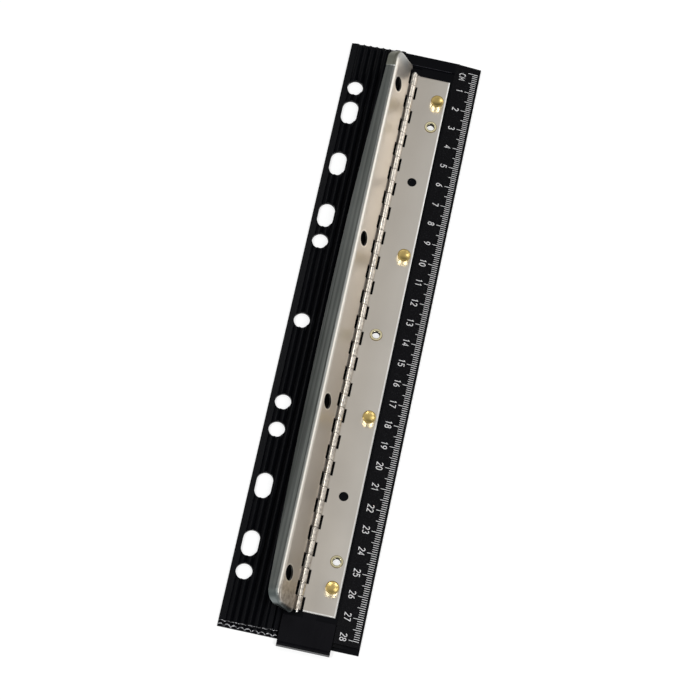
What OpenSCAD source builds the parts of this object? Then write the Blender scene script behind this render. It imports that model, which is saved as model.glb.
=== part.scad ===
// Flat four-hole punch for ring binders, with a ruler edge.
// A moulded base with a fluted filing flange carries a steel plate with four upright punch pins.
// A lever with four die holes is joined to the plate by a long rolled hinge and folds over the pins.
// Lengths are in millimetres. X runs across the base, Y along it and Z up.
// The origin is on the underside, in the middle of the deck.

/* [Punching row] */
// Distance between two neighbouring punch pins, and between the filing holes to match
punch_pitch = 80; // [79:0.5:81]
// Distance from the hinge axis to the punch pins
throat = 12.9; // [12.5:0.1:13.2]
// Diameter of a punch pin
pin_d = 6; // [5.4:0.1:6.2]
// Height of a punch pin above the plate
pin_h = 3.2; // [2.6:0.1:3.4]
// Depth of the hollow ground into the end of a punch pin
pin_dish = 0.4; // [0.2:0.05:0.6]
// Gap between a punch pin and the die hole round it
die_gap = 0.4; // [0.3:0.05:0.5]

/* [Base] */
// Distance from the end of the plate to the end of the deck
deck_end = 10.5; // [9:0.5:14]
// Thickness of the channel floor under the plate
floor_t = 2; // [1.8:0.1:2.6]
// Thickness of the filing edge
edge_t = 1.1; // [1:0.1:1.5]
// Height of the shoulder where the steep filing edge meets the flange
shoulder_h = 2.2; // [2:0.1:2.5]
// Distance from the filing edge to the shoulder
shoulder_x = 4.4; // [4:0.1:5]
// Height of the crest beside the hinge
crest_h = 3.8; // [3.4:0.1:4.2]
// Distance from the filing edge to the hinge side of the crest
crest_x = 26.3; // [25.6:0.1:26.8]
// Width of the crest
crest_w = 3; // [2.4:0.1:3.4]
// Wall of the hollow flange
shell_t = 1.1; // [0.9:0.1:1.2]

/* [Flutes] */
// Distance from one flute to the next
flute_pitch = 3.05; // [2.6:0.05:3.4]
// Depth of a flute
flute_depth = 1; // [0.4:0.05:1.05]
// Distance from the filing edge to the first ridge between flutes
flute_start = 2.8; // [2.4:0.1:3.2]

/* [Ruler edge] */
// Gap between the plate and the ruler strip
strip_gap = 1.2; // [0.8:0.1:2]
// Width of the ruler strip
strip_w = 11.9; // [10.5:0.1:12.4]
// Height of the ruler strip beside the channel
strip_h = 2.5; // [2.2:0.1:3]
// Height of the ruler strip at its outer edge
rim_h = 1.1; // [0.8:0.1:1.6]

/* [Filing holes] */
// Distance from the filing edge to the middle of the filing holes
filing_x = 6.15; // [5.8:0.05:7]
// Diameter of a filing hole and width of a filing slot
filing_d = 7.3; // [6:0.1:8]
// Length of a filing slot from end to end
slot_l = 12; // [10:0.5:14]
// Distance from an outer hole to the slot beside it
slot_in = 13; // [12:0.5:14]
// Distance from an inner hole to the slot or hole beside it
near_out = 13.2; // [12:0.2:15]

/* [Front end] */
// Length of the stepped edge below the end of the flutes
step_l = 1.5; // [1:0.1:2]
// Length of the thin lip below the stepped edge
lip_l = 1.5; // [1:0.1:2]
// Thickness of the thin lip
lip_t = 0.6; // [0.4:0.1:0.8]

/* [Rear end] */
// Length of the bar that closes the rear end of the channel
bar_l = 5.3; // [3:0.1:8]
// Height of the bar above the channel floor
bar_h = 0.6; // [0.3:0.1:0.8]

/* [Hinge] */
// Distance from the crest to the hinge axis
hinge_gap = 6; // [5.5:0.1:7]
// Number of knuckles on each leaf
knuckles = 21; // [15:1:25]
// Radius of the hinge rod
rod_r = 0.6; // [0.5:0.05:0.7]
// Thickness of both steel leaves
leaf_t = 0.8; // [0.7:0.05:0.9]
// Gap between the side of a knuckle and the notch round it
knuckle_gap = 0.3; // [0.2:0.05:0.4]
// Depth of the notches in the plate, measured from the hinge axis
notch_x = 2.5; // [2.4:0.05:2.8]
// Depth of the notches in the lever, measured from the hinge axis
lever_notch_x = 3.7; // [3:0.1:4]
// Gap at the seam where a rolled knuckle closes on its leaf
seam_gap = 0.15; // [0.1:0.05:0.25]

/* [Plate] */
// Distance from the outer punch pins to the ends of the plate and of the hinge
plate_end = 12.5; // [11:0.5:14]
// Distance from the punch pins to the free edge of the plate
plate_side = 4.1; // [3.8:0.1:4.6]
// Radius of the rounding along the free edges of the plate
plate_round = 0.45; // [0.2:0.05:0.5]
// Distance from the outer punch pins to the locating studs, along the plate
stud_in = 42.2; // [40:0.2:44]
// Distance from the line of the punch pins to the locating studs
stud_back = 3.6; // [3:0.1:4]
// Diameter of a locating stud
stud_d = 4.1; // [3.6:0.1:4.4]

/* [Eyelets] */
// Distance from the outer punch pins to the outer eyelets, along the plate
eyelet_in = 12.5; // [11:0.5:14]
// Distance from the line of the punch pins to the outer eyelets
eyelet_back = 0.5; // [0:0.1:1]
// Distance from the line of the punch pins to the middle eyelet
eyelet_mid_back = 4.8; // [4:0.1:5]
// Bore of an eyelet
eyelet_bore_d = 3.9; // [3.4:0.1:4.1]
// Wall of an eyelet
eyelet_wall = 0.3; // [0.25:0.05:0.4]
// Width of the rolled rim round an eyelet
eyelet_rim = 0.65; // [0.5:0.05:0.8]

/* [Lever] */
// Distance by which the ridge of the closed lever lies beyond the plate
lever_side = 1.6; // [1:0.1:2]
// Distance by which the lever reaches beyond the front end of the plate
lever_end = 2; // [1.8:0.1:3]
// Distance by which the lever reaches beyond the rear end of the plate
lever_tail = 4; // [3:0.1:4.4]
// Length of the lap where the rear end rim is folded round onto the rim
lap_l = 9.5; // [8:0.5:12]
// Thickness that the lap adds to the rim
lap_t = 0.35; // [0.2:0.05:0.5]
// Outside bend radius where the web turns into the rim
bend_r = 1.8; // [1.4:0.1:2.2]
// Corner radius of the lever, seen on the web
corner_r = 6; // [4:0.5:8]
// Depth of the rim at the middle of the lever
rim_mid = 8.2; // [7.6:0.1:8.6]
// Rise of the arched rim edge towards the ends
rim_arch = 2.9; // [2:0.1:3.4]
// Depth of the end rims at the corners
end_rim_far = 3.6; // [3:0.1:4]
// Depth of the end rims beside the hinge
end_rim_near = 1.5; // [1.2:0.1:2]
// Angle between the closed lever and the lever as it stands open
open_deg = 117; // [110:1:125]

/* [Paper stop] */
// Travel of the sliding paper stop
stop_travel = 25; // [10:1:25]
// Distance that the stop reaches beyond the lip when it is pushed in
stop_reach = 3.2; // [2:0.1:5]
// Height of the upright edge at the end of the stop
stop_lip_h = 0.5; // [0.3:0.1:1]
// Wall between the groove of the tongue and the pockets of the pin tails
tongue_wall = 0.6; // [0.5:0.1:1]
// Thickness of the tongue
tongue_t = 0.9; // [0.7:0.05:0.9]
// Length of the tongue under the plate
tongue_l = 38; // [35:1:40]

/* [Hidden] */

// Overrun of every cut
over = 1;
// Running clearance between the hinge rod and its knuckles
rod_gap = 0.05;
// Clearance of a sliding or loosely seated plastic piece
fit_gap = 0.1;
// Clearance beside a piece that moves past a wall
side_gap = 0.3;

// Overall sizes
plate_w = throat + plate_side;
hinge_l = 3 * punch_pitch + 2 * plate_end;
hinge_x = crest_x + hinge_gap;
base_w = hinge_x + plate_w + strip_gap + strip_w;
deck_l = hinge_l + 2 * deck_end;
lever_w = plate_w + lever_side;

// Places in the frame of the model
left_x = -base_w / 2;
right_x = base_w / 2;
rear_y = deck_l / 2;
front_y = -deck_l / 2;
lip_y = front_y - step_l - lip_l;
axis_x = left_x + hinge_x;
strip_x = right_x - strip_w;
knuckle_r = rod_r + rod_gap + leaf_t;
axis_z = floor_t + knuckle_r;
plate_top = floor_t + leaf_t;
plate_y = hinge_l / 2;
pin_x = axis_x + throat;
pin_ys = [for (k = [-1.5:1:1.5]) k * punch_pitch];
near_y = pin_ys[2] + near_out;
slot_mid_y = (pin_ys[2] + pin_ys[3]) / 2;
slot_far_y = pin_ys[3] - slot_in;
stud_y = pin_ys[3] - stud_in;
stud_x = throat - stud_back;

// Flutes
flute_r = (pow(flute_pitch / 2, 2) + pow(flute_depth, 2)) / (2 * flute_depth);
flutes = floor((crest_x - crest_w - flute_start) / flute_pitch);
cavity_end = crest_x - crest_w;
step_drop = flute_depth;

// Hinge
cell_l = hinge_l / (2 * knuckles);
groove_t = floor_t - 0.25 * floor_t;
groove_w = notch_x + side_gap;
rod_head = rod_r;
die_r = pin_d / 2 + die_gap;

// Pin tails and their pockets
tail_r = pin_d / 3;
rivet_r = pin_d / 2 - fit_gap;
rivet_t = 0.3 * floor_t;
pin_bevel = pin_d / 20;
pin_rim_r = pin_d / 2 - 2 * pin_bevel;
pin_dish_r = (pow(pin_rim_r, 2) + pow(pin_dish, 2)) / (2 * pin_dish);

// Eyelets
eyelet_y = pin_ys[3] - eyelet_in;
eyelet_x = throat - eyelet_back;
eyelet_mid_x = throat - eyelet_mid_back;
eyelet_r = eyelet_bore_d / 2 + eyelet_wall;
eyelet_sink = 0.4 * floor_t;

// Lever
lever_front_y = -plate_y - lever_end;
lever_rear_y = plate_y + lever_tail;
web_end = lever_w - corner_r;
arch_l = plate_y + lever_end - corner_r;
arch_r = (pow(arch_l, 2) + pow(rim_arch, 2)) / (2 * rim_arch);
web_in = knuckle_r - leaf_t;

// Paper stop
bay_t = 0.45 * floor_t;
bay_y = lever_front_y - side_gap;
tongue_x = axis_x + groove_w + fit_gap;
tongue_w = throat - rivet_r - tongue_wall - groove_w - 4 * fit_gap;
stop_back = bay_y - side_gap;
stop_front = lip_y - stop_reach;
stop_left = left_x + crest_x + side_gap;
stop_right = strip_x - side_gap;
stop_top = plate_top + fit_gap;
stop_foot = lip_t / 2;
stop_lip_l = 2 * stop_lip_h;
peg_r = tongue_w / 5;
peg_x = tongue_x + tongue_w / 2;
peg_y = -plate_y + peg_r + fit_gap;

// Height of the ridges between the flutes, from the filing edge to the crest
function edge_z(x) = x < shoulder_x
    ? edge_t + (shoulder_h - edge_t) * x / shoulder_x
    : shoulder_h + (crest_h - shoulder_h) * (x - shoulder_x) / (cavity_end - shoulder_x);

// Raises a flat outline, drawn in X and Z, into a bar from one place on Y to another
module along_y(from_y, to_y) {
    translate([0, to_y, 0])
        rotate([90, 0, 0])
            linear_extrude(to_y - from_y)
                children();
}

// Round bar along Y
module bar_y(r, from_y, to_y) {
    translate([0, from_y, 0])
        rotate([-90, 0, 0])
            cylinder(r = r, h = to_y - from_y, $fn = 48);
}

// Box given by its two opposite corners
module block(low, high) {
    translate(low)
        cube(high - low);
}

// Outline of the base: flange, crest, channel floor and ruler strip
module base_outline() {
    translate([left_x, 0])
        difference() {
            union() {
                polygon([
                    [0, 0],
                    [0, edge_t],
                    [shoulder_x, shoulder_h],
                    [cavity_end, crest_h],
                    [cavity_end, floor_t],
                    [crest_x, floor_t],
                    [base_w - strip_w, floor_t],
                    [base_w - strip_w, strip_h],
                    [base_w, rim_h],
                    [base_w, 0],
                ]);
                translate([crest_x - crest_w, 0])
                    square([crest_w, crest_h - crest_w / 2]);
                translate([crest_x - crest_w / 2, crest_h - crest_w / 2])
                    circle(crest_w / 2, $fn = 40);
            }
            for (k = [0:flutes - 1])
                let (x = flute_start + (k + 0.5) * flute_pitch)
                    translate([x, edge_z(x) + flute_r - flute_depth])
                        circle(flute_r, $fn = 48);
        }
}

// Outline of the hollow under the flange
module cavity_outline() {
    translate([left_x, 0])
        polygon([
            [shoulder_x, -over],
            [shoulder_x, shoulder_h - flute_depth - shell_t],
            [cavity_end, crest_h - flute_depth - shell_t],
            [cavity_end, -over],
        ]);
}

// Hole through the flange, drawn out along Y into a slot
module filing_hole(y, length) {
    reach = (length - filing_d) / 2;
    translate([left_x + filing_x, y, -over])
        union() {
            for (s = [-1, 1])
                translate([0, s * reach, 0])
                    cylinder(d = filing_d, h = crest_h + 2 * over, $fn = 48);
            if (reach > 0)
                translate([-filing_d / 2, -reach, 0])
                    cube([filing_d, 2 * reach, crest_h + 2 * over]);
        }
}

// The filing holes of the usual ring binders
module filing_holes() {
    for (y = pin_ys)
        filing_hole(y, filing_d);
    filing_hole(0, filing_d);
    filing_hole(-near_y, filing_d);
    filing_hole(near_y, slot_l);
    for (s = [-1, 1]) {
        filing_hole(s * slot_mid_y, slot_l);
        filing_hole(s * slot_far_y, slot_l);
    }
}

// Recesses in the channel floor: for the hinge, the pin tails and the paper stop
module floor_recesses() {
    block(
        [axis_x - groove_w, lever_front_y, groove_t],
        [axis_x + groove_w, lever_rear_y + lap_t, floor_t + over]
    );
    for (y = pin_ys)
        translate([pin_x, y, floor_t - rivet_t - fit_gap])
            cylinder(r = rivet_r + 2 * fit_gap, h = rivet_t + fit_gap + over, $fn = 40);
    block(
        [left_x + crest_x, lip_y - over, bay_t],
        [strip_x, bay_y, crest_h + over]
    );
    block(
        [tongue_x - fit_gap, bay_y - over, bay_t],
        [tongue_x + tongue_w + fit_gap, stop_back + tongue_l + side_gap, floor_t + over]
    );
}

// Holes for the eyelets, sunk from below for their lower rims
module eyelet_holes() {
    for (p = eyelet_places())
        translate([p[0], p[1], 0]) {
            translate([0, 0, -over])
                cylinder(r = eyelet_r + fit_gap, h = floor_t + 2 * over, $fn = 40);
            translate([0, 0, -over])
                cylinder(r = eyelet_r + eyelet_rim + fit_gap, h = eyelet_sink + over, $fn = 40);
        }
}

function eyelet_places() = [
    [axis_x + eyelet_x, eyelet_y],
    [axis_x + eyelet_mid_x, 0],
    [axis_x + eyelet_x, -eyelet_y],
];

module base_tray() {
    color([0.06, 0.06, 0.065])
        union() {
            difference() {
                union() {
                    along_y(front_y, rear_y)
                        base_outline();
                    along_y(front_y - step_l, front_y)
                        intersection() {
                            translate([0, -step_drop])
                                base_outline();
                            translate([left_x, 0])
                                square([base_w, crest_h]);
                        }
                    block([left_x, lip_y, 0], [right_x, front_y, lip_t]);
                    block(
                        [left_x + crest_x - crest_w / 2, rear_y - bar_l, 0],
                        [strip_x + crest_w / 2, rear_y, floor_t + bar_h]
                    );
                }
                along_y(front_y + shell_t, rear_y - shell_t)
                    cavity_outline();
                filing_holes();
                floor_recesses();
                eyelet_holes();
            }
            for (s = [-1, 1])
                translate([axis_x + stud_x, s * stud_y, floor_t / 2])
                    cylinder(d = stud_d, h = floor_t / 2 + 0.75 * leaf_t, $fn = 40);
            translate([peg_x, peg_y, bay_t / 2])
                cylinder(r = peg_r, h = floor_t - bay_t / 2, $fn = 32);
        }
}

// Rolled knuckles of one leaf, in its own cells, shortened by the gap at each side
module knuckle_row(first) {
    for (k = [0:knuckles - 1])
        let (low = -plate_y + (2 * k + first) * cell_l)
            bar_y(
                knuckle_r,
                max(low + knuckle_gap / 2, -plate_y),
                min(low + cell_l - knuckle_gap / 2, plate_y)
            );
}

// Seams of one leaf, seen from the hinge axis: each knuckle closes on the inner face of its leaf
module seam_row(first, low_z) {
    for (k = [0:knuckles - 1])
        let (low = -plate_y + (2 * k + first) * cell_l)
            block(
                [rod_r / 3, low - over, low_z],
                [knuckle_r + seam_gap, low + cell_l + over, low_z + seam_gap]
            );
}

// Notches in a leaf, one round each knuckle of the other leaf
module notch_row(first, depth, low_z, high_z) {
    for (k = [0:knuckles - 1])
        let (low = -plate_y + (2 * k + first) * cell_l)
            let (open_low = low <= -plate_y + knuckle_gap ? over : 0)
                let (open_high = low + cell_l >= plate_y - knuckle_gap ? over : 0)
                    block(
                        [-knuckle_r - over, low - knuckle_gap / 2 - open_low, low_z],
                        [depth, low + cell_l + knuckle_gap / 2 + open_high, high_z]
                    );
}

module rod_bore() {
    bar_y(rod_r + rod_gap, lever_front_y - over, lever_rear_y + over);
}

module fixed_leaf() {
    color([0.72, 0.70, 0.66])
        translate([axis_x, 0, axis_z])
            difference() {
                union() {
                    difference() {
                        block([0, -plate_y, -knuckle_r], [plate_w, plate_y, leaf_t - knuckle_r]);
                        notch_row(0, notch_x, -knuckle_r - over, over);
                        plate_roundings();
                    }
                    knuckle_row(1);
                }
                seam_row(1, leaf_t - knuckle_r);
                rod_bore();
                plate_holes();
            }
}

// Cut that rounds a corner in section; the corner lies at the origin, with the steel to the left and below
module corner_cut() {
    translate([-plate_round, -plate_round])
        difference() {
            square(plate_round + over);
            circle(plate_round, $fn = 32);
        }
}

// Cuts that round the free edges of the plate
module plate_roundings() {
    top = leaf_t - knuckle_r;
    along_y(-plate_y - over, plate_y + over)
        translate([plate_w, top])
            corner_cut();
    for (s = [-1, 1])
        translate([notch_x, 0, 0])
            rotate([90, 0, 90])
                linear_extrude(plate_w)
                    translate([s * plate_y, top])
                        scale([s, 1])
                            corner_cut();
}

// Holes in the plate for the pin tails, the eyelets and the locating studs
module plate_holes() {
    for (y = pin_ys)
        translate([throat, y, -knuckle_r - over])
            cylinder(r = tail_r + fit_gap / 2, h = knuckle_r + over, $fn = 40);
    for (p = eyelet_places())
        translate([p[0] - axis_x, p[1], -knuckle_r - over])
            cylinder(r = eyelet_r + fit_gap / 2, h = knuckle_r + over, $fn = 40);
    for (s = [-1, 1])
        translate([stud_x, s * stud_y, -knuckle_r - over])
            cylinder(r = stud_d / 2 + fit_gap, h = knuckle_r + over, $fn = 40);
}

module hinge_rod() {
    color([0.80, 0.79, 0.76])
        translate([axis_x, 0, axis_z]) {
            bar_y(rod_r, -plate_y - rod_head, plate_y + rod_head);
            for (s = [-1, 1])
                translate([0, s * (plate_y + rod_head), 0])
                    sphere(rod_r, $fn = 32);
        }
}

// Bent edge of the lever in section: an outside bend and the wall that stands on it
module bend_outline() {
    translate([-bend_r, bend_r])
        difference() {
            circle(bend_r, $fn = 40);
            circle(bend_r - leaf_t, $fn = 40);
            translate([-bend_r - over, -bend_r - over])
                square([bend_r + over, 2 * (bend_r + over)]);
            translate([-bend_r - over, 0])
                square([2 * (bend_r + over), bend_r + over]);
        }
    translate([-leaf_t, bend_r])
        square([leaf_t, rim_mid - bend_r]);
}

// Place on Y of the front end of the lever, where s is -1, or of its rear end, where s is 1
function end_y(s) = s < 0 ? lever_front_y : lever_rear_y;

// Place on Y where the rounded corner at that end begins
function arch_y(s) = end_y(s) - s * corner_r;

// The lever before its edge is trimmed, lying closed with the hinge axis on Y
module lever_blank() {
    translate([0, 0, web_in]) {
        difference() {
            block(
                [0, lever_front_y + bend_r, 0],
                [lever_w - bend_r, lever_rear_y - bend_r, leaf_t]
            );
            for (s = [-1, 1])
                difference() {
                    block(
                        [web_end, min(arch_y(s), end_y(s)), -over],
                        [lever_w, max(arch_y(s), end_y(s)), leaf_t + over]
                    );
                    translate([web_end, arch_y(s), -2 * over])
                        cylinder(r = corner_r - bend_r, h = leaf_t + 4 * over, $fn = 48);
                }
        }
        translate([lever_w, 0, 0])
            along_y(arch_y(-1), arch_y(1))
                bend_outline();
        for (s = [-1, 1]) {
            translate([0, end_y(s), 0])
                rotate([90, 0, 90])
                    linear_extrude(web_end)
                        scale([s, 1])
                            bend_outline();
            translate([web_end, arch_y(s), 0])
                rotate([0, 0, s < 0 ? -90 : 0])
                    rotate_extrude(angle = 90, $fn = 64)
                        translate([corner_r, 0])
                            bend_outline();
        }
        translate([0, 0, bend_r])
            linear_extrude(rim_mid - bend_r)
                lap_outline();
    }
}

// The lap at the rear end, seen on the web: it wraps the corner and ends in a slope on the rim
module lap_outline() {
    deep = leaf_t / 2;
    lap_y = lever_rear_y - lap_l;
    polygon([
        [lever_w - deep, lap_y],
        [lever_w, lap_y],
        [lever_w + lap_t, lap_y + lap_t],
        [lever_w + lap_t, arch_y(1)],
        [lever_w - deep, arch_y(1)],
    ]);
    translate([web_end, arch_y(1)])
        intersection() {
            difference() {
                circle(corner_r + lap_t, $fn = 64);
                circle(corner_r - deep, $fn = 64);
            }
            square(corner_r + lap_t);
        }
    translate([0, lever_rear_y - deep])
        square([web_end, deep + lap_t]);
}

// What the trimming takes away: all above the arched edge and above the sloping end rims
module lever_trim() {
    high = web_in + rim_mid + over;
    translate([web_end, 0, 0])
        rotate([90, 0, 90])
            linear_extrude(corner_r + over)
                difference() {
                    translate([arch_y(-1), web_in + rim_mid - rim_arch])
                        square([arch_y(1) - arch_y(-1), rim_arch + over]);
                    translate([0, web_in + rim_mid - arch_r])
                        circle(arch_r, $fn = 360);
                }
    for (s = [-1, 1])
        along_y(min(arch_y(s), end_y(s) + s * over), max(arch_y(s), end_y(s) + s * over))
            polygon([
                [-over, web_in + end_rim_near],
                [web_end, web_in + end_rim_far],
                [lever_w, web_in + rim_mid - rim_arch],
                [lever_w + over, web_in + rim_mid - rim_arch],
                [lever_w + over, high],
                [-over, high],
            ]);
}

// The lever, lying closed with the hinge axis on Y
module lever_closed() {
    difference() {
        union() {
            difference() {
                lever_blank();
                lever_trim();
                notch_row(1, lever_notch_x, -over, knuckle_r + rim_mid);
                for (s = [-1, 1])
                    block(
                        [-over, min(s * plate_y, end_y(s) + s * over), -over],
                        [notch_x, max(s * plate_y, end_y(s) + s * over), knuckle_r + rim_mid]
                    );
            }
            knuckle_row(0);
        }
        seam_row(0, web_in - seam_gap);
        rod_bore();
        for (y = pin_ys)
            translate([throat, y, -over])
                cylinder(r = die_r, h = knuckle_r + 2 * over, $fn = 48);
    }
}

module lever() {
    color([0.72, 0.70, 0.66])
        translate([axis_x, 0, axis_z])
            rotate([0, -open_deg, 0])
                lever_closed();
}

// Punch pin: a bevelled, hollow-ground cutter that stands on the plate, with its riveted tail
module punch_pin(y) {
    color([0.80, 0.66, 0.32])
        translate([pin_x, y, plate_top])
            difference() {
                rotate_extrude($fn = 64)
                    polygon([
                        [0, -leaf_t - rivet_t],
                        [rivet_r, -leaf_t - rivet_t],
                        [rivet_r, -leaf_t],
                        [tail_r, -leaf_t],
                        [tail_r, 0],
                        [pin_d / 2, 0],
                        [pin_d / 2, pin_h - pin_bevel],
                        [pin_d / 2 - pin_bevel, pin_h],
                        [0, pin_h],
                    ]);
                translate([0, 0, pin_h + pin_dish_r - pin_dish])
                    sphere(pin_dish_r, $fn = 96);
            }
}

module punch_pin_1() {
    punch_pin(pin_ys[0]);
}

module punch_pin_2() {
    punch_pin(pin_ys[1]);
}

module punch_pin_3() {
    punch_pin(pin_ys[2]);
}

module punch_pin_4() {
    punch_pin(pin_ys[3]);
}

// Half of a rolled rim in section, lying on the line where z is zero
module rim_outline() {
    difference() {
        translate([eyelet_r, 0])
            scale(eyelet_rim)
                circle(1, $fn = 40);
        translate([-over, -2 * eyelet_rim])
            square([2 * (eyelet_r + eyelet_rim), 2 * eyelet_rim]);
        square([eyelet_r - eyelet_wall, 2 * eyelet_rim]);
        translate([0, eyelet_rim / 2])
            square([eyelet_r + 2 * eyelet_rim, eyelet_rim]);
    }
}

// Eyelet: a tube through the plate and the base, rolled over at both ends
module eyelet(place) {
    color([0.82, 0.70, 0.36])
        translate([place[0], place[1], 0])
            rotate_extrude($fn = 64) {
                translate([eyelet_r - eyelet_wall, eyelet_sink])
                    square([eyelet_wall, plate_top - eyelet_sink]);
                translate([0, plate_top])
                    rim_outline();
                translate([0, eyelet_sink])
                    mirror([0, 1])
                        rim_outline();
            }
}

module eyelet_rear() {
    eyelet(eyelet_places()[0]);
}

module eyelet_middle() {
    eyelet(eyelet_places()[1]);
}

module eyelet_front() {
    eyelet(eyelet_places()[2]);
}

// Side view of the sliding stop beyond the plate, drawn in Y and Z
module stop_outline() {
    polygon([
        [stop_front, stop_foot],
        [stop_front, stop_top + stop_lip_h],
        [stop_front + stop_lip_l, stop_top + stop_lip_h],
        [stop_front + 2 * stop_lip_l, stop_top],
        [stop_back, stop_top],
        [stop_back, bay_t + fit_gap],
        [lip_y - side_gap, bay_t + fit_gap],
        [lip_y - side_gap, stop_foot],
    ]);
}

module paper_stop() {
    color([0.05, 0.05, 0.055])
        difference() {
            union() {
                translate([stop_left, 0, 0])
                    rotate([90, 0, 90])
                        linear_extrude(stop_right - stop_left)
                            stop_outline();
                block(
                    [tongue_x, stop_back - side_gap, bay_t + fit_gap],
                    [tongue_x + tongue_w, stop_back + tongue_l, bay_t + fit_gap + tongue_t]
                );
            }
            for (y = [peg_y, peg_y + stop_travel])
                translate([peg_x, y, 0])
                    cylinder(r = peg_r + side_gap, h = plate_top + over, $fn = 32);
            block(
                [peg_x - peg_r - side_gap, peg_y, 0],
                [peg_x + peg_r + side_gap, peg_y + stop_travel, plate_top + over]
            );
        }
}

base_tray();
fixed_leaf();
lever();
hinge_rod();
punch_pin_1();
punch_pin_2();
punch_pin_3();
punch_pin_4();
eyelet_rear();
eyelet_middle();
eyelet_front();
paper_stop();
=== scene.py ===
import math
from types import SimpleNamespace

import bmesh
import bpy
from mathutils import Matrix, Vector
from mathutils.bvhtree import BVHTree


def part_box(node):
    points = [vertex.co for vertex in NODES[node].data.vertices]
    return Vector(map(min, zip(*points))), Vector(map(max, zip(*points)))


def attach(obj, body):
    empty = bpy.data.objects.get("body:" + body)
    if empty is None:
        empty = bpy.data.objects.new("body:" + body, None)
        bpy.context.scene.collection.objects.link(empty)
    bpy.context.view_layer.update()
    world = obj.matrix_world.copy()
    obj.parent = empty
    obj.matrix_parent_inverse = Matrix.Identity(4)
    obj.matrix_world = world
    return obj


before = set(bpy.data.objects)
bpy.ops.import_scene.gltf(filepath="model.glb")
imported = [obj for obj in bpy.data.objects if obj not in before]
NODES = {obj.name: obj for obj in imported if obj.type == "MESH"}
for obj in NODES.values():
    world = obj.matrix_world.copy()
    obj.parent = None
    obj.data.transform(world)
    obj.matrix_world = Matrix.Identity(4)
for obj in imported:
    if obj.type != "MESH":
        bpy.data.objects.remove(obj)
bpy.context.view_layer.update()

# Lengths of the object are in millimetres, in the frame of the CAD: X to the right, Y to the
# rear and Z up. Blender's own lengths are in metres.
MM = 0.001


def mm(*v):
    return Vector(v) * MM


# Camera, solved from the places of pins, holes and corners in the photograph
CAM_AT = mm(15.99, -394.8, 1017.2)
CAM_RIGHT = Vector((0.97754, 0.20190, 0.06044))
CAM_BACK = Vector((0.01548, -0.35482, 0.93481))
CAM_LENS = 124.04
CAM_SENSOR = 36.0
CAM_CLIP = (0.05, 20)


def make_camera():
    cam = bpy.data.cameras.new("camera")
    cam.lens = CAM_LENS
    cam.sensor_width = CAM_SENSOR
    cam.clip_start, cam.clip_end = CAM_CLIP
    o = bpy.data.objects.new("camera", cam)
    bpy.context.scene.collection.objects.link(o)
    back = CAM_BACK.normalized()
    right = (CAM_RIGHT - back * CAM_RIGHT.dot(back)).normalized()
    up = back.cross(right)
    m = Matrix((right, up, back)).transposed().to_4x4()
    m.translation = CAM_AT
    o.matrix_world = m
    bpy.context.scene.camera = o


# Shader helpers
NOISE_ROUGH = 0.55


def rgb(*c):
    return (*c, 1.0)


def scaled(tone, k):
    """A tone made k times as bright, as a colour with no part above 1."""
    return rgb(*[min(1, c * k) for c in tone])


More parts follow.
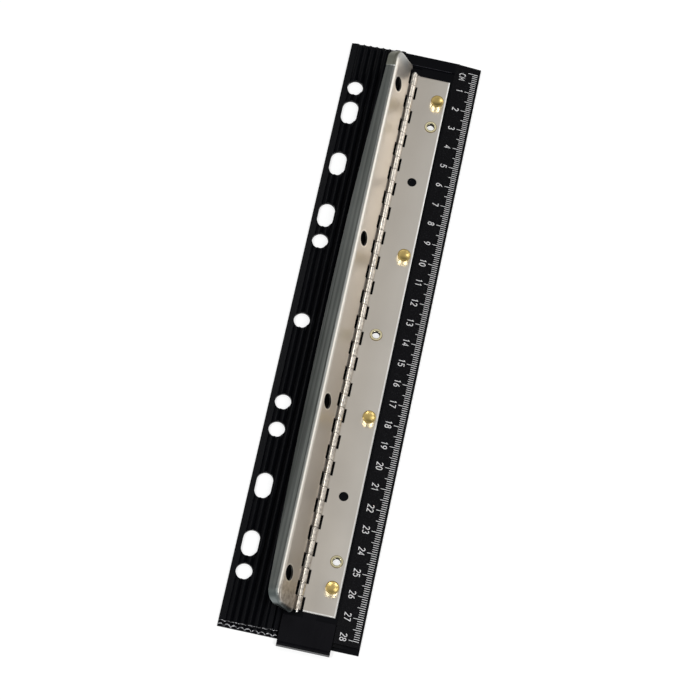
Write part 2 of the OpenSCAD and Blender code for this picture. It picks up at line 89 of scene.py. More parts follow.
class Tree:
    """The node tree of a material or world, built with short calls."""

    def __init__(self, owner, output):
        owner.use_nodes = True
        self.owner = owner
        self.t = owner.node_tree
        self.t.nodes.clear()
        self.out = self.node(output)

    def node(self, kind, inputs=None, **props):
        n = self.t.nodes.new("ShaderNode" + kind)
        for k, v in props.items():
            setattr(n, k, v)
        for k, v in (inputs or {}).items():
            self.put(n.inputs[k], v)
        return n

    def put(self, socket, v):
        """Link a socket or node to the socket, or set its value."""
        if isinstance(v, bpy.types.NodeSocket):
            self.t.links.new(v, socket)
        elif isinstance(v, bpy.types.Node):
            self.t.links.new(v.outputs[0], socket)
        else:
            socket.default_value = v

    def math(self, op, a, b=None, c=None):
        n = self.node("Math", operation=op)
        for i, v in enumerate((a, b, c)):
            if v is not None:
                self.put(n.inputs[i], v)
        return n.outputs[0]

    def add(self, a, b):
        return self.math("ADD", a, b)

    def less(self, a, b):
        return self.math("SUBTRACT", a, b)

    def times(self, a, b):
        return self.math("MULTIPLY", a, b)

    def most(self, a, b):
        return self.math("MAXIMUM", a, b)

    def length(self, a, b):
        return self.math("SQRT", self.add(self.times(a, a), self.times(b, b)))

    def level(self, v, low, high, at_low, at_high):
        """at_low below low, at_high above high, smooth between."""
        n = self.node("MapRange", {"Value": v, "From Min": low, "From Max": high,
                                   "To Min": at_low, "To Max": at_high},
                      interpolation_type="SMOOTHSTEP")
        return n.outputs[0]

    def rise(self, v, low, high):
        return self.level(v, low, high, 0.0, 1.0)

    def fall(self, v, low, high):
        return self.less(1.0, self.rise(v, low, high))

    def mix(self, f, a, b):
        n = self.node("Mix", data_type="RGBA")
        self.put(n.inputs[0], f)
        self.put(n.inputs[6], a)
        self.put(n.inputs[7], b)
        return n.outputs[2]

    def tint(self, col, tone, mask, amount=None):
        """Lay a tone over a colour, where the mask is 1 and by the amount."""
        f = mask if amount is None else self.times(mask, amount)
        return self.mix(f, col, rgb(*tone))

    def ramp(self, f, stops):
        n = self.node("ValToRGB")
        cr = n.color_ramp
        while len(cr.elements) < len(stops):
            cr.elements.new(0.5)
        for e, (p, c) in zip(cr.elements, stops):
            e.position = p
            e.color = rgb(*c)
        self.put(n.inputs[0], f)
        return n.outputs[0]

    def coord(self, scale=(1, 1, 1)):
        """Object coordinates in metres."""
        tc = self.node("TexCoord")
        return self.node("Mapping", {"Vector": tc.outputs["Object"], "Scale": scale}).outputs[0]

    def place(self):
        """Object coordinates in millimetres, as three sockets."""
        tc = self.node("TexCoord")
        v = self.node("VectorMath", {0: tc.outputs["Object"], 1: (1 / MM, 1 / MM, 1 / MM)},
                      operation="MULTIPLY")
        return tuple(self.node("SeparateXYZ", {0: v.outputs[0]}).outputs)

    def noise(self, vec, scale, detail):
        return self.node("TexNoise", {"Vector": vec, "Scale": scale, "Detail": detail,
                                      "Roughness": NOISE_ROUGH}).outputs[0]

    def bump(self, h, strength, distance, normal=None):
        n = self.node("Bump", {"Height": h, "Strength": strength, "Distance": distance})
        if normal is not None:
            self.put(n.inputs["Normal"], normal)
        return n.outputs[0]

    def shader(self, **inputs):
        """Principled shader as the surface. Returns the material."""
        n = self.node("BsdfPrincipled", {k.replace("_", " "): v for k, v in inputs.items()})
        self.put(self.out.inputs[0], n)
        return self.owner

    def seen_directly(self):
        """1 for rays of the camera and for those off gloss or through glass."""
        lp = self.node("LightPath")
        seen = self.most(lp.outputs["Is Camera Ray"], lp.outputs["Is Glossy Ray"])
        return self.most(seen, lp.outputs["Is Transmission Ray"])


def new_material(name):
    return Tree(bpy.data.materials.new(name), "OutputMaterial")


# Black plastics
STRIP_X = (18.9, 19.4)
STRIP_Z = (0.9, 1.1)
SPECK = (0.5, 0.72)
BASE_DARK = rgb(0.0009, 0.0010, 0.0018)
BASE_LIGHT = rgb(0.0019, 0.0021, 0.0034)
MATT_DARK = rgb(0.0022, 0.0022, 0.0030)
MATT_LIGHT = rgb(0.011, 0.011, 0.013)
STOP_DARK = rgb(0.0018, 0.0018, 0.0027)
STOP_LIGHT = rgb(0.0042, 0.0040, 0.0058)
WIPED = (1, 0.25, 1)
# Painted highlight on the edge beads: pale marks broken by noise
HIGHLIGHT_MARKS = (0.42, 0.6)
HIGHLIGHT_MARK_DARK = rgb(0.05, 0.05, 0.055)
HIGHLIGHT_MARK_LIGHT = rgb(0.80, 0.80, 0.83)
# Faint painted highlight along the rear bar's edge
FAINT_HIGHLIGHT_DARK = rgb(0.006, 0.006, 0.009)
FAINT_HIGHLIGHT_LIGHT = rgb(0.03, 0.03, 0.04)


def base_plastic():
    """Black moulded plastic: glossy dark flutes, and a matt speckled ruler strip."""
    s = new_material("base_plastic")
    v = s.coord()
    x, y, z = s.place()
    strip = s.times(s.rise(x, *STRIP_X), s.rise(z, *STRIP_Z))
    fine = s.noise(v, 1500, 3)
    blotch = s.noise(v, 70, 3)
    speck = s.rise(s.noise(v, 2100, 2), *SPECK)
    dark = s.mix(blotch, BASE_DARK, BASE_LIGHT)
    matt = s.mix(speck, MATT_DARK, MATT_LIGHT)
    rough = s.add(s.add(0.3, s.times(blotch, 0.12)), s.times(strip, 0.16))
    grain = s.add(0.1, s.times(strip, 0.2))
    return s.shader(Base_Color=s.mix(strip, dark, matt), Roughness=rough,
                    Specular_IOR_Level=0.07, Normal=s.bump(fine, grain, 0.00008))


def stop_plastic():
    """Smooth black plastic with faint wipe marks."""
    s = new_material("stop_plastic")
    wipe = s.noise(s.coord(scale=WIPED), 180, 4)
    fine = s.noise(s.coord(), 1400, 2)
    return s.shader(Base_Color=s.mix(wipe, STOP_DARK, STOP_LIGHT),
                    Roughness=s.add(0.16, s.times(wipe, 0.2)),
                    Specular_IOR_Level=0.1, Normal=s.bump(fine, 0.05, 0.00004))


def worn_plastic():
    """Painted highlight along an edge of the black moulding: a pale colour broken into short
    marks.
    """
    s = new_material("worn_plastic")
    v = s.coord()
    marks_and_painted_light = s.rise(s.noise(v, 950, 3), *HIGHLIGHT_MARKS)
    fine = s.noise(v, 3000, 2)
    return s.shader(Base_Color=s.mix(marks_and_painted_light, HIGHLIGHT_MARK_DARK, HIGHLIGHT_MARK_LIGHT), Roughness=0.4,
                    Specular_IOR_Level=0.3, Normal=s.bump(fine, 0.2, 0.00005))


def soft_edge():
    """Faint painted highlight along an edge of the black moulding that has lost its sharpness.
    """
    s = new_material("soft_edge")
    marks_and_painted_light = s.noise(s.coord(), 300, 3)
    return s.shader(Base_Color=s.mix(marks_and_painted_light, FAINT_HIGHLIGHT_DARK, FAINT_HIGHLIGHT_LIGHT), Roughness=0.35,
                    Specular_IOR_Level=0.3, Normal=s.bump(marks_and_painted_light, 0.1, 0.00005))


# Steel. The lever is described at rest: reach runs up its web from the hinge axis, drop runs
# down its rim from the web, and out is the distance round its rounded outline.
AXIS_X = 1.1
AXIS_Z = 3.45
LEAN_COS = -0.454
LEAN_SIN = 0.891
BARREL_EDGE = (1.48, 1.6)
LEVER_W = 18.6
CORNER_R = 6.0
FRONT_END = -134.5
REAR_END = 136.5
LAP_Y = 127.0
HOLE_PITCH = 80.0
HOLE_REACH = 12.9
HOLE_R = 3.4
PLATE_RIGHT = 18.1
PLATE_FRONT = -132.5

PLATE_STEEL = (0.62, 0.57, 0.505)
LEVER_STEEL = (0.67, 0.615, 0.545)
ROD_STEEL = (0.70, 0.68, 0.64)
DRAWN = (1, 0.02, 1)
STREAKED = (1, 0.012, 1)
MOTTLE = (0.34, 0.62)
FOOT_START = (0.2, 0.6)
FOOT_END = (2.5, 3.5)
FOOT_SHADE_TONE = (0.025, 0.019, 0.016)
WALL_SHADE_TONE = (0.02, 0.018, 0.015)
RIDGE_HIGHLIGHT_TONE = (1.0, 0.96, 0.87)
BEND_END = (1.2, 1.7)
DULL_BEND_END = (1.9, 2.5)
TARNISH_Y = (-131.0, -119.0)
TARNISH_SPOTS = (0.3, 0.75)
TARNISH_TONE = (0.22, 0.17, 0.12)
BAND_STEP = 0.1
# Painted shade down the rim, darkest towards its free edge, with a slight green tint of painted
# reflection
RIM_SHADE_BANDS = [(0.10, 0.46), (0.17, 0.26), (0.21, 0.25), (0.26, 0.23),
             (0.38, 0.46), (0.60, 0.30), (0.86, 0.22)]
RIM_HUE = (1.0, 1.02, 0.96)
STREAKS = (0.32, 0.66)
STREAK_DARK = (0.05, 0.055, 0.05)
STREAK_LIGHT = (1.0, 1.0, 0.96)
FRONT_Y = (-133.0, -126.5)
FRONT_SHADE_TONE = (0.10, 0.11, 0.10)
LAP_TONE = (0.24, 0.24, 0.20)
REAR_REACH = (4.0, 10.0)
REAR_SHADE_TONE = (0.36, 0.37, 0.36)
CREASE_END = (3.0, 4.5)
CREASE_HIGHLIGHT_TONE = (0.92, 0.92, 0.90)
CORNER_SHADE_TONE = (0.20, 0.225, 0.225)
SIDE_X = (5.0, 17.0)
# Painted sheen: the plate made paler towards its right
SIDE_SHEEN_TONE = (1.0, 0.98, 0.94)
EDGE_IN = 0.95
EDGE_OUT = 0.65
# Painted highlight along the plate's right and front edges
EDGE_HIGHLIGHT_TONE = (1.0, 0.985, 0.95)


def plate_marks(s, at, col, rough):
    """Steel painted paler to the right as a painted sheen, with a painted highlight along the
    right and front edge.
    """
    col = s.tint(col, SIDE_SHEEN_TONE, s.rise(at.x, *SIDE_X), 0.16)
    right = s.rise(at.x, PLATE_RIGHT - EDGE_IN, PLATE_RIGHT - EDGE_OUT)
    front = s.fall(at.y, PLATE_FRONT + EDGE_OUT, PLATE_FRONT + EDGE_IN)
    return s.tint(col, EDGE_HIGHLIGHT_TONE, s.most(right, front), 0.9), rough, 1.0


def outline_distance(s, reach, y):
    """Distance round the rounded outline of the web. It is CORNER_R at the rim."""
    middle = (FRONT_END + REAR_END) / 2
    half = (REAR_END - FRONT_END) / 2
    up = s.most(s.less(reach, LEVER_W - CORNER_R), 0.0)
    away = s.math("ABSOLUTE", s.less(y, middle))
    return s.length(up, s.most(s.less(away, half - CORNER_R), 0.0))


def rim_tone(s, drop, front, lap):
    """Tone of the rim: painted shade darkening it in bands towards its free edge, fine streaks,
    a front end darkened as painted shade, and a lap.
    """
    shade_bands = [(at, [level * c for c in RIM_HUE]) for at, level in RIM_SHADE_BANDS]
    tone = s.ramp(s.times(drop, BAND_STEP), shade_bands)
    streaks = s.rise(s.noise(s.coord(scale=STREAKED), 760, 3), *STREAKS)
    dark = s.mix(0.36, tone, rgb(*STREAK_DARK))
    light = s.mix(0.13, tone, rgb(*STREAK_LIGHT))
    tone = s.mix(streaks, dark, light)
    tone = s.tint(tone, FRONT_SHADE_TONE, front, 0.8)
    return s.tint(tone, LAP_TONE, lap)


def lever_marks(s, at, col, rough):
    """Painted light and shade on the lever, with its marks of use and pressing."""
    y = at.y
    reach = s.add(s.times(at.dx, LEAN_COS), s.times(at.dz, LEAN_SIN))
    drop = s.add(s.times(at.dx, -LEAN_SIN), s.times(at.dz, LEAN_COS))

    # Painted shade: a dark line in the gap where the web meets the barrel
    foot_shade = s.times(s.fall(reach, *FOOT_END), s.less(1.0, at.barrel))
    foot_shade = s.times(foot_shade, s.rise(reach, *FOOT_START))
    col = s.tint(col, FOOT_SHADE_TONE, foot_shade, 0.95)

    # Die holes: a painted highlight ring round each and a wall darkened as painted shade
    along = s.less(s.math("WRAP", y, HOLE_PITCH, 0.0), HOLE_PITCH / 2)
    from_hole = s.length(along, s.less(reach, HOLE_REACH))
    ring = s.times(s.rise(from_hole, HOLE_R + 0.1, HOLE_R + 0.3),
                   s.fall(from_hole, HOLE_R + 0.5, HOLE_R + 1.0))
    col = s.tint(col, RIDGE_HIGHLIGHT_TONE, ring, 0.4)
    wall_shade = s.fall(from_hole, HOLE_R + 0.02, HOLE_R + 0.12)
    col = s.tint(col, WALL_SHADE_TONE, wall_shade)

    # Painted highlight along the ridge of the bend, and tarnish at the front end of the web
    out = outline_distance(s, reach, y)
    ridge_highlight = s.times(s.rise(out, CORNER_R - 1.2, CORNER_R - 0.6), s.fall(drop, *BEND_END))
    ridge_highlight = s.times(ridge_highlight, s.rise(y, FRONT_END + 1.5, FRONT_END + 12.0))
    tarnish = s.times(s.fall(y, *TARNISH_Y), s.rise(s.noise(at.v, 520, 4), *TARNISH_SPOTS))
    col = s.tint(col, TARNISH_TONE, tarnish, 0.75)
    col = s.tint(col, RIDGE_HIGHLIGHT_TONE, ridge_highlight, 0.95)
    # Where highlight or shade is painted, the steel is made less metallic
    painted_nonmetal = s.most(s.times(ridge_highlight, 0.85), s.most(wall_shade, s.times(foot_shade, 0.8)))
    metal = s.less(1.0, painted_nonmetal)

    # Rim with its painted shade, the lap round the rear corner with a painted highlight on its
    # crease, and the rear end darkened as painted shade
    on_rim = s.times(s.rise(out, CORNER_R - 1.0, CORNER_R - 0.1), s.rise(drop, *BEND_END))
    front = s.fall(y, *FRONT_Y)
    lap = s.rise(y, LAP_Y, LAP_Y + 0.3)
    # Painted shade on the rear end of the web
    rear_shade = s.times(s.rise(y, LAP_Y + 1.0, REAR_END - 3.0), s.rise(reach, *REAR_REACH))
    col = s.tint(col, REAR_SHADE_TONE, rear_shade, 0.8)
    col = s.mix(on_rim, col, rim_tone(s, drop, front, lap))
    # Painted highlight along the crease at the front edge of the lap
    crease_highlight = s.times(s.rise(y, LAP_Y - 0.5, LAP_Y - 0.3), s.fall(y, LAP_Y, LAP_Y + 0.15))
    crease_highlight = s.times(crease_highlight, s.fall(drop, *CREASE_END))
    col = s.tint(col, CREASE_HIGHLIGHT_TONE, s.times(crease_highlight, on_rim), 0.9)
    # Painted shade at the front corner of the rim and ridge
    corner_shade = s.times(front, s.rise(out, CORNER_R - 1.3, CORNER_R - 0.5))
    col = s.tint(col, CORNER_SHADE_TONE, corner_shade, 0.8)

    bend = s.times(on_rim, s.fall(drop, *DULL_BEND_END))
    rough = s.add(rough, s.times(bend, 0.22))
    rough = s.add(rough, s.times(s.times(on_rim, lap), 0.2))
    return col, rough, metal


def steel(name, base, rough, marks_and_painted_light):
    """Plated sheet steel with fine lines along it and a mottled barrel, with the marks and the
    painted light and shade of its part.
    """
    s = new_material(name)
    lines = s.noise(s.coord(scale=DRAWN), 2600, 3)
    v = s.coord()
    cloud = s.noise(v, 38, 4)
    spots = s.noise(v, 900, 2)
    x, y, z = s.place()
    dx = s.less(x, AXIS_X)
    dz = s.less(z, AXIS_Z)
    barrel = s.fall(s.length(dx, dz), *BARREL_EDGE)
    col = s.mix(cloud, scaled(base, 0.94), scaled(base, 1.05))
    # The barrel is mottled by noise; its light spots, up to 1.45 times the tone, are partly
    # painted highlight
    mottle = s.rise(s.noise(v, 800, 3), *MOTTLE)
    worn = s.mix(mottle, scaled(base, 0.86), scaled(base, 1.45))
    col = s.mix(s.times(barrel, 0.85), col, worn)
    r = s.add(s.add(rough - 0.05, s.times(cloud, 0.1)), s.times(lines, 0.05))
    at = SimpleNamespace(v=v, x=x, y=y, dx=dx, dz=dz, barrel=barrel)
    col, r, metal = marks_and_painted_light(s, at, col, r)
    normal = s.bump(lines, 0.1, 0.00004, s.bump(spots, 0.05, 0.00005))
    return s.shader(Base_Color=col, Metallic=metal, Roughness=r, Normal=normal)


# Brass
PIN_TOP = 6.0
PIN_BRASS = (0.60, 0.445, 0.165)
FLANK_HIGHLIGHT_TONE = (0.98, 0.86, 0.54)
EYELET_BORE = 1.95
EYELET_OUT = 2.85
EYELET_GOLD = rgb(0.93, 0.80, 0.46)
EYELET_LIGHT = rgb(1.0, 0.94, 0.66)
EYELET_FOOT_SHADE = (0.26, 0.20, 0.09)
TUBE_SHADE_TONE = (0.014, 0.011, 0.006)


def pin_brass():
    """Brass punch pin: a dull end face and a flank that the paper has polished, its paler
    colour a painted highlight.
    """
    s = new_material("pin_brass")
    cloud = s.noise(s.coord(), 260, 3)
    x, y, z = s.place()
    flank = s.fall(z, PIN_TOP - 1.3, PIN_TOP - 0.7)
    col = s.mix(cloud, scaled(PIN_BRASS, 0.82), scaled(PIN_BRASS, 1.08))
    rough = s.less(s.add(0.26, s.times(cloud, 0.12)), s.times(flank, 0.1))
    return s.shader(Base_Color=s.tint(col, FLANK_HIGHLIGHT_TONE, flank), Metallic=1.0, Roughness=rough,
                    Normal=s.bump(cloud, 0.12, 0.00005))


def eyelet_brass(name, cx, cy, bore):
    """Rolled brass eyelet round the axis at cx, cy, its tube dull and darkened as painted
    shade, and painted shade round its foot.
    """
    s = new_material(name)
    x, y, z = s.place()
    far = s.length(s.less(x, cx), s.less(y, cy))
    tube_shade = s.fall(far, bore + 0.03, bore + 0.12)
    # Painted shade round the foot of the eyelet
    foot_shade = s.rise(far, EYELET_OUT - 0.3, EYELET_OUT - 0.12)
    cloud = s.noise(s.coord(), 400, 3)
    gold = s.tint(s.mix(cloud, EYELET_GOLD, EYELET_LIGHT), EYELET_FOOT_SHADE, foot_shade)
    return s.shader(Base_Color=s.tint(gold, TUBE_SHADE_TONE, tube_shade), Metallic=s.less(1.0, tube_shade),
                    Roughness=s.add(0.18, s.times(tube_shade, 0.35)), Specular_IOR_Level=0.05,
                    Normal=s.bump(cloud, 0.08, 0.00004))


def ink(name):
    """White print, worn thin in places."""
    s = new_material(name)
    worn = s.noise(s.coord(), 1500, 3)
    return s.shader(Base_Color=s.mix(worn, rgb(0.58, 0.58, 0.59), rgb(0.82, 0.82, 0.83)),
                    Roughness=0.6, Normal=s.bump(worn, 0.2, 0.00003))


def dress(node, mat):
    o = NODES[node]
    o.data.materials.clear()
    o.data.materials.append(mat)


# Pieces of the scene
def piece(name, bm, mat, body, smooth=False):
    bmesh.ops.recalc_face_normals(bm, faces=bm.faces)
    for f in bm.faces:
        f.smooth = smooth
    mesh = bpy.data.meshes.new(name)
    bm.to_mesh(mesh)
    bm.free()
    o = bpy.data.objects.new(name, mesh)
    bpy.context.scene.collection.objects.link(o)
    o.data.materials.append(mat)
    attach(o, body)


# Ruler: marks and numbers, a thin layer of ink on the sloping strip
STRIP_IN = 19.3
STRIP_OUT = 31.2
STRIP_HIGH = 2.5
STRIP_LOW = 1.1
INK_T = 0.03
INK_LIFT = 0.012
ZERO_Y = 139.75
RULER_END = 280
TICK_END = 30.1
TICK_START = {"cm": 25.6, "half": 26.5, "mm": 27.65}
TICK_W = 0.24
DIGIT_X = 23.05
DIGIT_H = 2.9
SIGN_W = 1.45
SIGN_GAP = 0.5
STROKE_W = 0.34
LAST_NUMBER = 28
LAST_SHIFT = 0.8
UNIT_IN = 2.6


def ink_high(x):
    slope = (STRIP_HIGH - STRIP_LOW) / (STRIP_OUT - STRIP_IN)
    return STRIP_HIGH - (x - STRIP_IN) * slope + INK_LIFT


def ink_low(x):
    return ink_high(x) - INK_T


def prism(bm, outline, low, high):
    """Closed bar: an outline drawn in X and Y, from low(x) to high(x) in Z."""
    a = [bm.verts.new(mm(x, y, low(x))) for x, y in outline]
    b = [bm.verts.new(mm(x, y, high(x))) for x, y in outline]
    bm.faces.new(list(reversed(a)))
    bm.faces.new(b)
    n = len(outline)
    for i in range(n):
        j = (i + 1) % n
        bm.faces.new((a[i], a[j], b[j], b[i]))


def ruler_ticks(mat):
    bm = bmesh.new()
    x1, w = TICK_END, TICK_W / 2
    for k in range(RULER_END + 1):
        x0 = TICK_START["cm" if k % 10 == 0 else "half" if k % 5 == 0 else "mm"]
        y = ZERO_Y - k
        prism(bm, [(x0, y - w), (x1, y - w), (x1, y + w), (x0, y + w)], ink_low, ink_high)
    piece("ruler_ticks", bm, mat, "base")


def arc(cx, cy, rx, ry, a0, a1, n=10):
    return [(cx + rx * math.cos(math.radians(a0 + (a1 - a0) * i / n)),
             cy + ry * math.sin(math.radians(a0 + (a1 - a0) * i / n))) for i in range(n + 1)]


# Strokes of each sign, as points (right, up) in a cell one wide and two high
SIGNS = {
    "0": [arc(0.5, 1.0, 0.46, 0.96, 90, 450, 20)],
    "1": [[(0.22, 1.62), (0.55, 1.96), (0.55, 0.04)]],
    "2": [arc(0.5, 1.48, 0.44, 0.48, 165, -30) + [(0.06, 0.04), (0.96, 0.04)]],
    "3": [arc(0.48, 1.5, 0.42, 0.46, 150, -80) + arc(0.46, 0.54, 0.48, 0.5, 80, -150)],
    "4": [[(0.72, 0.04), (0.72, 1.96), (0.04, 0.6), (0.98, 0.6)]],
    "5": [[(0.9, 1.96), (0.2, 1.96), (0.12, 1.1)] + arc(0.46, 0.66, 0.48, 0.62, 120, -150)],
    "6": [[(0.8, 1.9), (0.3, 1.4)] + arc(0.5, 0.58, 0.45, 0.54, 160, 520, 20)],
    "7": [[(0.04, 1.96), (0.96, 1.96), (0.36, 0.04)]],
    "8": [arc(0.5, 1.5, 0.38, 0.44, -90, 270, 18), arc(0.5, 0.55, 0.46, 0.51, 90, 450, 20)],
    "9": [[(0.2, 0.1), (0.7, 0.6)] + arc(0.5, 1.42, 0.45, 0.54, -20, 340, 20)],
    "c": [arc(0.52, 1.0, 0.44, 0.94, 50, 310, 14)],
    "m": [[(0.02, 0.04), (0.02, 1.96), (0.5, 0.7), (0.98, 1.96), (0.98, 0.04)]],
}


def stroke(bm, pts, place):
    """Ribbon of constant width along pts with mitred corners, laid on the strip."""
    p = [Vector(q) for q in pts]
    closed = (p[0] - p[-1]).length < 1e-6
    if closed:
        p = p[:-1]
    n = len(p)
    rows = []
    for i in range(n):
        before = p[i] - p[i - 1] if (i > 0 or closed) else p[1] - p[0]
        after = p[(i + 1) % n] - p[i] if (i < n - 1 or closed) else p[-1] - p[-2]
        a, b = before.normalized(), after.normalized()
        t = a + b
        t = t.normalized() if t.length > 1e-3 else a
        side = Vector((-t.y, t.x))
        reach = STROKE_W / 2 / max(0.5, abs(side.dot(Vector((-a.y, a.x)))))
        (lx, ly), (rx, ry) = place(p[i] + side * reach), place(p[i] - side * reach)
        corners = ((lx, ly, ink_high), (rx, ry, ink_high),
                   (rx, ry, ink_low), (lx, ly, ink_low))
        rows.append([bm.verts.new(mm(x, y, height(x))) for x, y, height in corners])
    for i in range(n if closed else n - 1):
        a, b = rows[i], rows[(i + 1) % n]
        for k in range(4):
            bm.faces.new((a[k], a[(k + 1) % 4], b[(k + 1) % 4], b[k]))
    if not closed:
        bm.faces.new(rows[0])
        bm.faces.new(list(reversed(rows[-1])))


def sign_row(bm, text, y):
    """A word centred at y. It reads towards -Y with the tops of the signs towards +X."""
    wide = len(text) * SIGN_W + (len(text) - 1) * SIGN_GAP
    for i, sign in enumerate(text):
        left = -wide / 2 + i * (SIGN_W + SIGN_GAP)
        for pts in SIGNS[sign]:
            sized = [(left + u * SIGN_W, (v - 1.0) * DIGIT_H / 2) for u, v in pts]
            stroke(bm, sized, lambda q: (DIGIT_X + q[1], y - q[0]))


def ruler_numbers(mat):
    bm = bmesh.new()
    for k in range(1, LAST_NUMBER + 1):
        shift = LAST_SHIFT if k == LAST_NUMBER else 0.0
        sign_row(bm, str(k), ZERO_Y - 10 * k + shift)
    sign_row(bm, "cm", ZERO_Y - UNIT_IN)
    piece("ruler_numbers", bm, mat, "base")


# Painted highlights along edges of the black moulding: two scalloped beads at the front end of
# the flutes
# # and a faint one on the rear bar
EDGE_FROM = -31.0
EDGE_TO = -5.2
EDGE_STEP = 0.2
EDGE_SINK = 0.02
FLUTE_FIRST = -28.4
FLUTE_PITCH = 3.05
BEAD_SIDES = 8
FRONT_UP = (0, 0.6, 0.8)
REAR_UP = (0, -0.6, 0.8)
RAY_FROM = 40
BAR_Y = 137.72
BAR_Z = 2.56
BAR_FROM = -3.6
BAR_STEP = 0.8
BAR_POINTS = 28


def surface_height(node):
    """Function that gives the height of a node's top surface at a place."""
    bm = bmesh.new()
    bm.from_mesh(NODES[node].data)
    tree = BVHTree.FromBMesh(bm)
    bm.free()

    def at(x, y):
        hit = tree.ray_cast(mm(x, y, RAY_FROM), Vector((0, 0, -1)))
        return hit[0].z / MM

    return at


def bead(bm, points, radii, up):
    """Round bead along points, with its own radius at each."""
    rings = []
    side = Vector(up).normalized()
    turns = [2 * math.pi * k / BEAD_SIDES for k in range(BEAD_SIDES)]
    for i, (p, r) in enumerate(zip(points, radii)):
        before = points[max(0, i - 1)]
        after = points[min(len(points) - 1, i + 1)]
        t = (Vector(after) - Vector(before)).normalized()
        a = (side - t * side.dot(t)).normalized()
        b = t.cross(a)
        rings.append([bm.verts.new((Vector(p) + (a * math.cos(q) + b * math.sin(q)) * r) * MM)
                      for q in turns])
    for one, two in zip(rings, rings[1:]):
        for k in range(BEAD_SIDES):
            j = (k + 1) % BEAD_SIDES
            bm.faces.new((one[k], one[j], two[j], two[k]))
    bm.faces.new(list(reversed(rings[0])))
    bm.faces.new(rings[-1])


def flute_crest(x):
    """1 on the crest between two flutes, 0 at the bottom of a flute."""
    u = ((x - FLUTE_FIRST) / FLUTE_PITCH) % 1.0
    return (2 * u - 1) ** 2


def worn_edge(name, height, mat, y, sway, thin, thick, phase):
    """Painted highlight: a pale bead across the flutes that sways forward at the crests and
    swells and thins.
    """
    bm = bmesh.new()
    points, radii = [], []
    n = int((EDGE_TO - EDGE_FROM) / EDGE_STEP)
    for i in range(n + 1):
        x = EDGE_FROM + EDGE_STEP * i
        at = y - sway * flute_crest(x)
        points.append((x, at, height(x, at + EDGE_SINK) - EDGE_SINK))
        wave = 0.5 + 0.3 * math.sin(2.1 * x + phase) + 0.2 * math.sin(5.3 * x + 2 * phase)
        radii.append(thin + (thick - thin) * max(0.0, min(1.0, wave)))
    bead(bm, points, radii, FRONT_UP)
    piece(name, bm, mat, "base", smooth=True)


def rear_bar_edge(mat):
    bm = bmesh.new()
    xs = [BAR_FROM + BAR_STEP * i for i in range(BAR_POINTS)]
    radii = [0.12 + 0.03 * math.sin(1.3 * x) for x in xs]
    bead(bm, [(x, BAR_Y, BAR_Z) for x in xs], radii, REAR_UP)
    piece("rear_bar_edge", bm, mat, "base", smooth=True)


def make_worn_edges():
    height = surface_height("base_tray")
    mat = worn_plastic()
    worn_edge("painted_highlight_upper", height, mat, y=-143.02, sway=0.45,
              thin=0.06, thick=0.17, phase=0.4)
    worn_edge("painted_highlight_lower", height, mat, y=-144.52, sway=1.05,
              thin=0.13, thick=0.31, phase=1.7)
    rear_bar_edge(soft_edge())


# Inner lips of the eyelets: (radius, depth below the top) and (radius, height above the foot)
LIP_R = 1.68
LIP_OUT = EYELET_BORE + 0.06
LIP_TOP = [(LIP_OUT, 0.1), (1.9, 0.06), (1.8, 0.1), (1.72, 0.2), (LIP_R, 0.36)]
LIP_FOOT = [(LIP_R, 0.3), (LIP_R + 0.1, 0.15), (LIP_OUT, 0.15)]
LIP_SIDES = 48


def eyelet_lip(name, cx, cy, low, high, mat):
    """Inner lip of a rolled eyelet, turned round its axis."""
    outline = [(r, high - d) for r, d in LIP_TOP] + [(r, low + h) for r, h in LIP_FOOT]
    bm = bmesh.new()
    rows = []
    for k in range(LIP_SIDES):
        a = 2 * math.pi * k / LIP_SIDES
        rows.append([bm.verts.new(mm(cx + r * math.cos(a), cy + r * math.sin(a), z))
                     for r, z in outline])
    m = len(outline)
    for k in range(LIP_SIDES):
        one, two = rows[k], rows[(k + 1) % LIP_SIDES]
        for i in range(m):
            j = (i + 1) % m
            bm.faces.new((one[i], one[j], two[j], two[i]))
    piece(name, bm, mat, "base", smooth=True)


def dress_nodes():
    dress("base_tray", base_plastic())
    dress("paper_stop", stop_plastic())
    dress("fixed_leaf", steel("plate_steel", PLATE_STEEL, 0.28, plate_marks))
    dress("lever", steel("lever_steel", LEVER_STEEL, 0.32, lever_marks))
    dress("hinge_rod", steel("rod_steel", ROD_STEEL, 0.2, plate_marks))
    pin = pin_brass()
    for k in range(1, 5):
        dress(f"punch_pin_{k}", pin)


def make_eyelets():
    for k in ("rear", "middle", "front"):
        low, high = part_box(f"eyelet_{k}")
        cx, cy = (low[0] + high[0]) / 2 / MM, (low[1] + high[1]) / 2 / MM
        dress(f"eyelet_{k}", eyelet_brass(f"eyelet_brass_{k}", cx, cy, EYELET_BORE))
        lip = eyelet_brass(f"eyelet_lip_brass_{k}", cx, cy, LIP_R)
        eyelet_lip(f"eyelet_lip_{k}", cx, cy, low[2] / MM, high[2] / MM, lip)


# Stage. Lengths here are in metres.
FLOOR_HALF = 3.0
FLOOR_TONE = rgb(0.8, 0.8, 0.8)
FLOOR_SEEN = rgb(0.45, 0.45, 0.45)
FLOOR_GLOW = 0.64
WHITE = rgb(1, 1, 1)


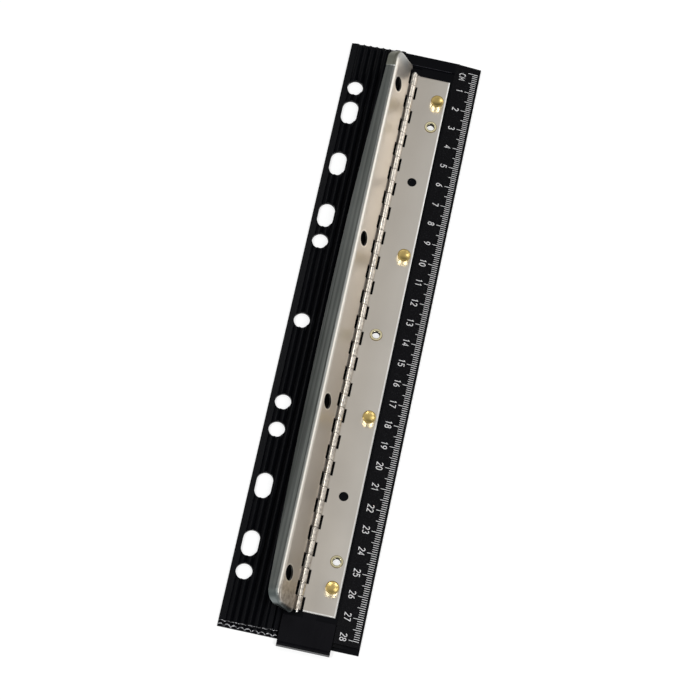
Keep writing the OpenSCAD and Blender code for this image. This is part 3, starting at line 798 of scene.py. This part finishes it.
def make_floor():
    """White floor. Where it is seen it glows a little, and it keeps the object's shadow."""
    mesh = bpy.data.meshes.new("floor")
    r = FLOOR_HALF
    mesh.from_pydata([(-r, -r, 0), (r, -r, 0), (r, r, 0), (-r, r, 0)], [], [(0, 1, 2, 3)])
    o = bpy.data.objects.new("floor", mesh)
    bpy.context.scene.collection.objects.link(o)
    s = new_material("floor_white")
    plain = s.node("BsdfDiffuse", {"Color": FLOOR_TONE})
    shaded = s.node("BsdfDiffuse", {"Color": FLOOR_SEEN})
    glow = s.node("Emission", {"Color": WHITE, "Strength": FLOOR_GLOW})
    bright = s.node("AddShader", {0: shaded, 1: glow})
    surface = s.node("MixShader", {0: s.seen_directly(), 1: plain, 2: bright})
    s.put(s.out.inputs[0], surface)
    o.data.materials.append(s.owner)


# World: a soft light from above and from the right, a ring of light at the horizon and a
# higher patch to the front. Directions are parts of one, strengths are of white.
SKY_TOP = 0.56
SKY_LEFT = 0.03
SKY_RIGHT = 0.30
GLOW = 0.32
UP_Z = (0.55, 0.95)
SIDE_DIR = (-0.3, 0.7)
REAR_DIR = (0.2, 0.44)
REAR_PART = 0.6
RING_Z = (0.2, 0.46)
PATCH_Y = (-0.3, 0.0)
PATCH_Z = (0.7, 0.92)
HUE_DIR = (-0.7, 0.1)
HUE_LEFT = rgb(0.89, 1.0, 1.0)
HUE_RIGHT = rgb(1.0, 0.99, 0.98)
BACKDROP_Z = (0.06, 0.14)


def make_world():
    world = bpy.data.worlds.new("world")
    bpy.context.scene.world = world
    s = Tree(world, "OutputWorld")
    tc = s.node("TexCoord")
    x, y, z = s.node("SeparateXYZ", {0: tc.outputs["Generated"]}).outputs
    up = s.times(s.level(z, *UP_Z, 0.0, SKY_TOP), s.level(y, *REAR_DIR, REAR_PART, 1.0))
    sky = s.add(up, s.level(x, *SIDE_DIR, SKY_LEFT, SKY_RIGHT))
    ring = s.level(z, *RING_Z, GLOW, 0.0)
    patch = s.times(s.level(y, *PATCH_Y, 1.0, 0.0), s.level(z, *PATCH_Z, GLOW, 0.0))
    hue = s.mix(s.rise(x, *HUE_DIR), HUE_LEFT, HUE_RIGHT)
    light = s.node("Background", {"Color": hue, "Strength": s.most(sky, s.most(ring, patch))})
    white = s.node("Background", {"Color": WHITE, "Strength": 1.0})
    backdrop = s.times(s.seen_directly(), s.level(z, *BACKDROP_Z, 1.0, 0.0))
    s.put(s.out.inputs[0], s.node("MixShader", {0: backdrop, 1: light, 2: white}))


# Lamps in metres and watts: name, place, aim, size, power
LAMPS = [
    ("lamp_right", (0.46, 0.37, 0.32), (0, 0.14, 0), (0.27, 0.25), 0.47),
    ("lamp_upper_left", (-0.56, 0.5, 1.19), (0, 0, 0), (0.35, 0.35), 2.4),
    ("lamp_top_right", (0.44, -0.33, 0.95), (0, 0, 0), (0.26, 0.26), 3.2),
    ("lamp_top_left", (-0.44, -0.33, 0.95), (0, 0, 0), (0.26, 0.26), 3.2),
]


def make_lamp(name, at, aim, size, power):
    light = bpy.data.lights.new(name, "AREA")
    light.shape = "RECTANGLE"
    light.size, light.size_y = size
    light.energy = power
    o = bpy.data.objects.new(name, light)
    bpy.context.scene.collection.objects.link(o)
    o.location = at
    o.rotation_euler = (Vector(aim) - Vector(at)).to_track_quat("-Z", "Y").to_euler()


make_camera()
make_world()
make_floor()
for lamp in LAMPS:
    make_lamp(*lamp)
dress_nodes()
make_eyelets()
ruler_ink = ink("ruler_ink")
ruler_ticks(ruler_ink)
ruler_numbers(ruler_ink)
make_worn_edges()

bpy.context.scene.view_settings.view_transform = "Standard"
